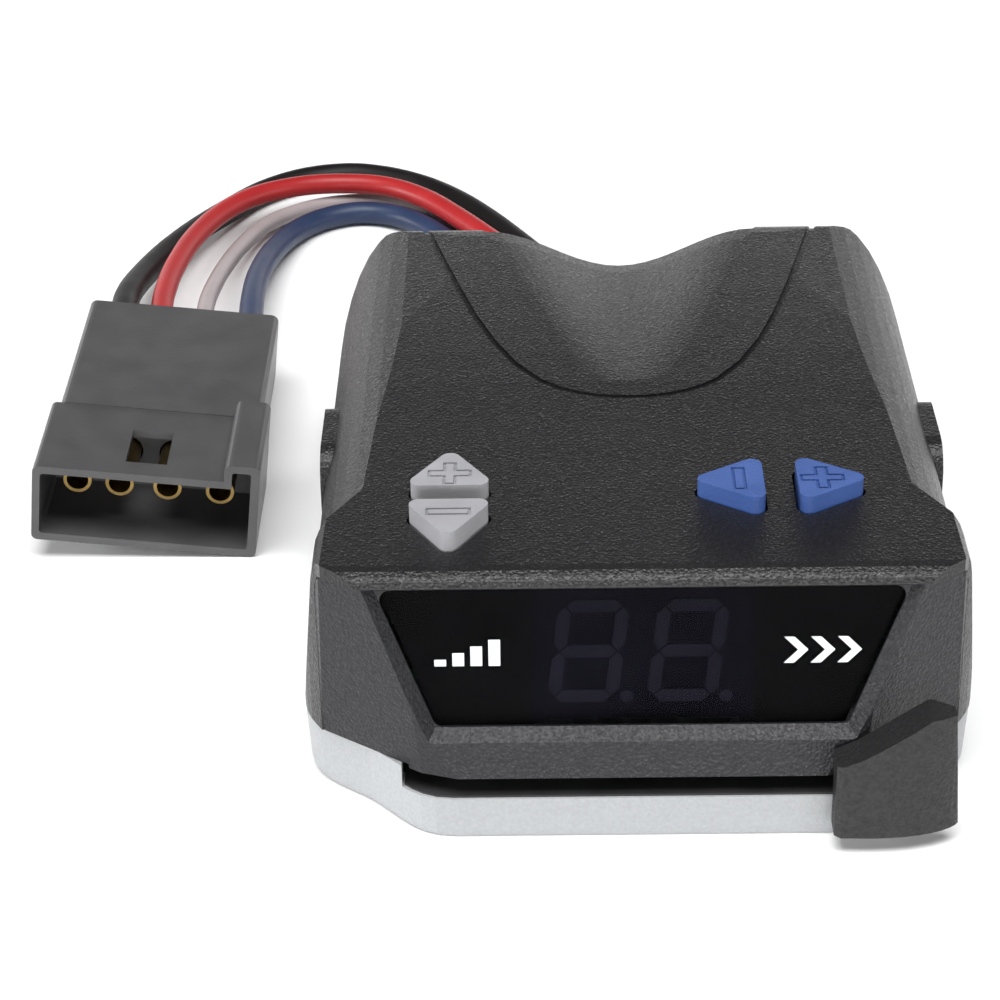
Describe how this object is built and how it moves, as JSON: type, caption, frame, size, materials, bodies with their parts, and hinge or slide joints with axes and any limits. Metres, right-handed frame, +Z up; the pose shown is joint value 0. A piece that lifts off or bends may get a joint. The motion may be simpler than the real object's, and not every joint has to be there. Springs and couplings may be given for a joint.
{
  "type": "trailer brake controller",
  "caption": "In-cab trailer brake controller with a two-digit display, adjustment buttons, a sprung manual slide lever and a wired plug.",
  "frame": {"origin": "middle of the case's footprint on the surface it stands on, with the front of the finger lever and the back of the wire gland counted in the footprint", "axes": "+Z up, -Y towards the display and the driver, +X to the right seen from the front"},
  "size_m": [0.1341, 0.2174, 0.0398],
  "materials": {
    "black_case": "fine leather-grain texture, low sheen",
    "bezel_plastic": "fine texture, low sheen",
    "silver_plastic": "silver-grey, very fine texture",
    "smoked_lens": "polished, smoked",
    "led_body": "smooth black",
    "led_bars": "unlit grey diffuser",
    "circuit_board": "green solder mask",
    "grey_button": "satin",
    "blue_button": "satin",
    "black_component": "moulded epoxy",
    "capacitor_sleeve": "shrink sleeve",
    "gold_contact": "gold plated",
    "sink_metal": "extruded, satin",
    "steel": "zinc plated",
    "insert_brass": "knurled, turned",
    "lever_plastic": "textured, low sheen",
    "carriage_plastic": "natural acetal",
    "gland_rubber": "matt",
    "black_wire": "extruded vinyl",
    "red_wire": "extruded vinyl",
    "white_wire": "extruded vinyl",
    "blue_wire": "extruded vinyl",
    "plug_plastic": "smooth nylon, satin"
  },
  "bodies": {
    "housing": {"upper_housing": "black_case", "front_bezel": "bezel_plastic", "base_housing": "silver_plastic", "display_lens": "smoked_lens", "led_display": "led_body", "led_segments": "led_bars", "display_board": "circuit_board", "key_board": "circuit_board", "key_switches": "black_component", "board_link": "black_component", "main_board": "circuit_board", "display_header": "gold_contact", "header_block": "black_component", "control_chip": "black_component", "motion_sensor": "black_component", "capacitor_set": "capacitor_sleeve", "heat_sink": "sink_metal", "power_transistors": "black_component", "board_standoffs": "silver_plastic", "board_screw_set": "steel", "housing_screws": "steel", "mount_inserts": "insert_brass", "slide_rod": "steel", "return_spring": "steel", "slide_sensor": "black_component", "slot_strip": "black_component", "wire_gland": "gland_rubber", "wire_black": "black_wire", "wire_red": "red_wire", "wire_white": "white_wire", "wire_blue": "blue_wire", "plug_housing": "plug_plastic", "plug_sockets": "gold_contact", "plug_rear_lock": "plug_plastic"},
    "gain_up": {"gain_up_button": "grey_button"},
    "gain_down": {"gain_down_button": "grey_button"},
    "boost_down": {"boost_down_button": "blue_button"},
    "boost_up": {"boost_up_button": "blue_button"},
    "lever": {"lever_knob": "lever_plastic", "lever_carriage": "carriage_plastic"}
  },
  "joints": [
    {"name": "gain_up_press", "type": "slide", "parent": "housing", "child": "gain_up", "axis": [0, 0, -1], "range_m": [0, 0.0007], "stiffness_N_per_m": 600, "springref_m": -0.001},
    {"name": "gain_down_press", "type": "slide", "parent": "housing", "child": "gain_down", "axis": [0, 0, -1], "range_m": [0, 0.0007], "stiffness_N_per_m": 600, "springref_m": -0.001},
    {"name": "boost_down_press", "type": "slide", "parent": "housing", "child": "boost_down", "axis": [0, 0, -1], "range_m": [0, 0.0007], "stiffness_N_per_m": 600, "springref_m": -0.001},
    {"name": "boost_up_press", "type": "slide", "parent": "housing", "child": "boost_up", "axis": [0, 0, -1], "range_m": [0, 0.0007], "stiffness_N_per_m": 600, "springref_m": -0.001},
    {"name": "lever_slide", "type": "slide", "parent": "housing", "child": "lever", "axis": [-1, 0, 0], "range_m": [0, 0.05], "stiffness_N_per_m": 30, "springref_m": -0.02, "deforming": ["return_spring"]}
  ]
}
